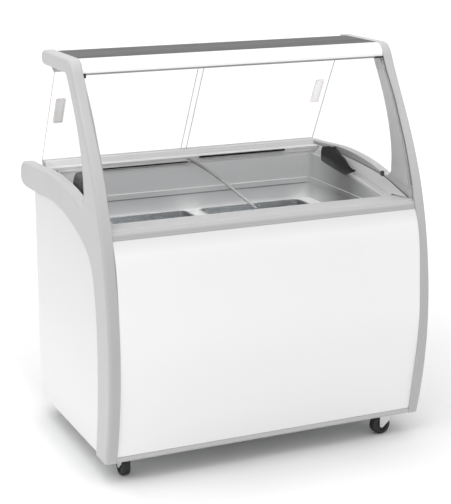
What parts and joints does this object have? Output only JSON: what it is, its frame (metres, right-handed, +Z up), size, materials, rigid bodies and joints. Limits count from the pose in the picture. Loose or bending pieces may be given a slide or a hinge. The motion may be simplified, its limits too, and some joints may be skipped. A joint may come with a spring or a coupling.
{
  "type": "chest freezer",
  "caption": "Chest freezer for scooping ice cream, with curved glass front, lit canopy, sliding lids over pans, sliding glass doors behind and swivel casters.",
  "frame": {"origin": "on the floor under the middle of the machine's bounding box", "axes": "+Z up, +X to the customer's right when facing the front, -Y towards the customer"},
  "size_m": [1.045, 0.8262, 1.213],
  "materials": {
    "white_panel": "gloss",
    "white_moulding": "gloss",
    "grey_moulding": "satin",
    "dark_panel": "matte",
    "tub_skin": "satin",
    "foam": "matte",
    "pan_steel": "satin",
    "copper": "satin",
    "clear_glass": "gloss",
    "diffuser": "gloss",
    "black_plastic": "satin",
    "black_rubber": "matte",
    "wheel_rubber": "matte",
    "zinc_steel": "satin",
    "bright_metal": "gloss",
    "black_metal": "satin",
    "fin_aluminium": "satin"
  },
  "bodies": {
    "cabinet": {"side_frame_right": "grey_moulding", "side_frame_left": "grey_moulding", "pillar_covers": "grey_moulding", "front_panel": "white_panel", "front_rail": "grey_moulding", "bottom_trim": "grey_moulding", "side_panel_right": "white_panel", "side_panel_left": "white_panel", "back_panel": "white_panel", "insulation": "foam", "liner": "tub_skin", "evaporator_coil": "copper", "rim_frame": "grey_moulding", "rear_rail": "grey_moulding", "rear_deck": "grey_moulding", "control_box": "black_plastic", "power_cord": "black_rubber", "canopy_shell": "white_moulding", "canopy_top": "dark_panel", "light_cover": "diffuser", "lamp": "diffuser", "upper_track": "grey_moulding", "front_glass": "clear_glass", "glass_seals": "black_rubber", "side_glass_right": "clear_glass", "side_glass_left": "clear_glass", "glass_clips": "bright_metal", "pan_plate": "pan_steel", "compressor": "black_metal", "condenser": "fin_aluminium", "fan_housing": "black_metal", "caster_mounts": "zinc_steel", "base_pan": "zinc_steel"},
    "lid_left": {"lid_left_glass": "clear_glass", "lid_left_edge": "grey_moulding", "lid_left_handle": "black_plastic"},
    "lid_right": {"lid_right_glass": "clear_glass", "lid_right_edge": "grey_moulding", "lid_right_handle": "black_plastic"},
    "door_left": {"door_left_glass": "clear_glass", "door_left_grip": "diffuser"},
    "door_right": {"door_right_glass": "clear_glass", "door_right_grip": "diffuser"},
    "fan": {"fan_blades": "black_plastic"},
    "thermostat": {"thermostat_knob": "black_plastic"},
    "light_rocker": {"light_switch": "black_plastic"},
    "pan_left_1": {"pan_left_1": "pan_steel"},
    "pan_left_2": {"pan_left_2": "pan_steel"},
    "pan_left_3": {"pan_left_3": "pan_steel"},
    "pan_right_1": {"pan_right_1": "pan_steel"},
    "pan_right_2": {"pan_right_2": "pan_steel"},
    "pan_right_3": {"pan_right_3": "pan_steel"},
    "fork_front_left": {"caster_fork_front_left": "zinc_steel"},
    "wheel_front_left": {"caster_wheel_front_left": "wheel_rubber"},
    "fork_front_right": {"caster_fork_front_right": "zinc_steel"},
    "wheel_front_right": {"caster_wheel_front_right": "wheel_rubber"},
    "fork_rear_left": {"caster_fork_rear_left": "zinc_steel"},
    "wheel_rear_left": {"caster_wheel_rear_left": "wheel_rubber"},
    "fork_rear_right": {"caster_fork_rear_right": "zinc_steel"},
    "wheel_rear_right": {"caster_wheel_rear_right": "wheel_rubber"}
  },
  "joints": [
    {"name": "lid_left_slide", "type": "slide", "parent": "cabinet", "child": "lid_left", "axis": [1, 0, 0], "range_m": [0, 0.385]},
    {"name": "lid_right_slide", "type": "slide", "parent": "cabinet", "child": "lid_right", "axis": [1, 0, 0], "range_m": [-0.41, 0]},
    {"name": "door_left_slide", "type": "slide", "parent": "cabinet", "child": "door_left", "axis": [1, 0, 0], "range_m": [0, 0.43]},
    {"name": "door_right_slide", "type": "slide", "parent": "cabinet", "child": "door_right", "axis": [1, 0, 0], "range_m": [-0.43, 0]},
    {"name": "pan_left_1_lift", "type": "slide", "parent": "cabinet", "child": "pan_left_1", "axis": [0, 0, 1], "range_m": [0, 0.09]},
    {"name": "pan_left_2_lift", "type": "slide", "parent": "cabinet", "child": "pan_left_2", "axis": [0, 0, 1], "range_m": [0, 0.09]},
    {"name": "pan_left_3_lift", "type": "slide", "parent": "cabinet", "child": "pan_left_3", "axis": [0, 0, 1], "range_m": [0, 0.09]},
    {"name": "pan_right_1_lift", "type": "slide", "parent": "cabinet", "child": "pan_right_1", "axis": [0, 0, 1], "range_m": [0, 0.09]},
    {"name": "pan_right_2_lift", "type": "slide", "parent": "cabinet", "child": "pan_right_2", "axis": [0, 0, 1], "range_m": [0, 0.09]},
    {"name": "pan_right_3_lift", "type": "slide", "parent": "cabinet", "child": "pan_right_3", "axis": [0, 0, 1], "range_m": [0, 0.09]},
    {"name": "fan_spin", "type": "hinge", "parent": "cabinet", "child": "fan", "pos_m": [0.112, 0.18, 0.198], "axis": [1, 0, 0], "continuous": true},
    {"name": "thermostat_turn", "type": "hinge", "parent": "cabinet", "child": "thermostat", "pos_m": [-0.362, 0.291, 0.67], "axis": [0, 1, 0], "range_deg": [-135, 135]},
    {"name": "light_rocker_tilt", "type": "hinge", "parent": "cabinet", "child": "light_rocker", "pos_m": [-0.316, 0.2826, 0.67], "axis": [1, 0, 0], "range_deg": [-6, 6]},
    {"name": "swivel_front_left", "type": "hinge", "parent": "cabinet", "child": "fork_front_left", "pos_m": [-0.442, -0.317, 0.07], "axis": [0, 0, 1], "continuous": true},
    {"name": "roll_front_left", "type": "hinge", "parent": "fork_front_left", "child": "wheel_front_left", "pos_m": [-0.442, -0.288, 0.0315], "axis": [1, 0, 0], "continuous": true},
    {"name": "swivel_front_right", "type": "hinge", "parent": "cabinet", "child": "fork_front_right", "pos_m": [0.442, -0.317, 0.07], "axis": [0, 0, 1], "continuous": true},
    {"name": "roll_front_right", "type": "hinge", "parent": "fork_front_right", "child": "wheel_front_right", "pos_m": [0.413, -0.317, 0.0315], "axis": [0, 1, 0], "continuous": true},
    {"name": "swivel_rear_left", "type": "hinge", "parent": "cabinet", "child": "fork_rear_left", "pos_m": [-0.442, 0.233, 0.07], "axis": [0, 0, 1], "continuous": true},
    {"name": "roll_rear_left", "type": "hinge", "parent": "fork_rear_left", "child": "wheel_rear_left", "pos_m": [-0.442, 0.262, 0.0315], "axis": [1, 0, 0], "continuous": true},
    {"name": "swivel_rear_right", "type": "hinge", "parent": "cabinet", "child": "fork_rear_right", "pos_m": [0.442, 0.233, 0.07], "axis": [0, 0, 1], "continuous": true},
    {"name": "roll_rear_right", "type": "hinge", "parent": "fork_rear_right", "child": "wheel_rear_right", "pos_m": [0.442, 0.262, 0.0315], "axis": [1, 0, 0], "continuous": true}
  ]
}
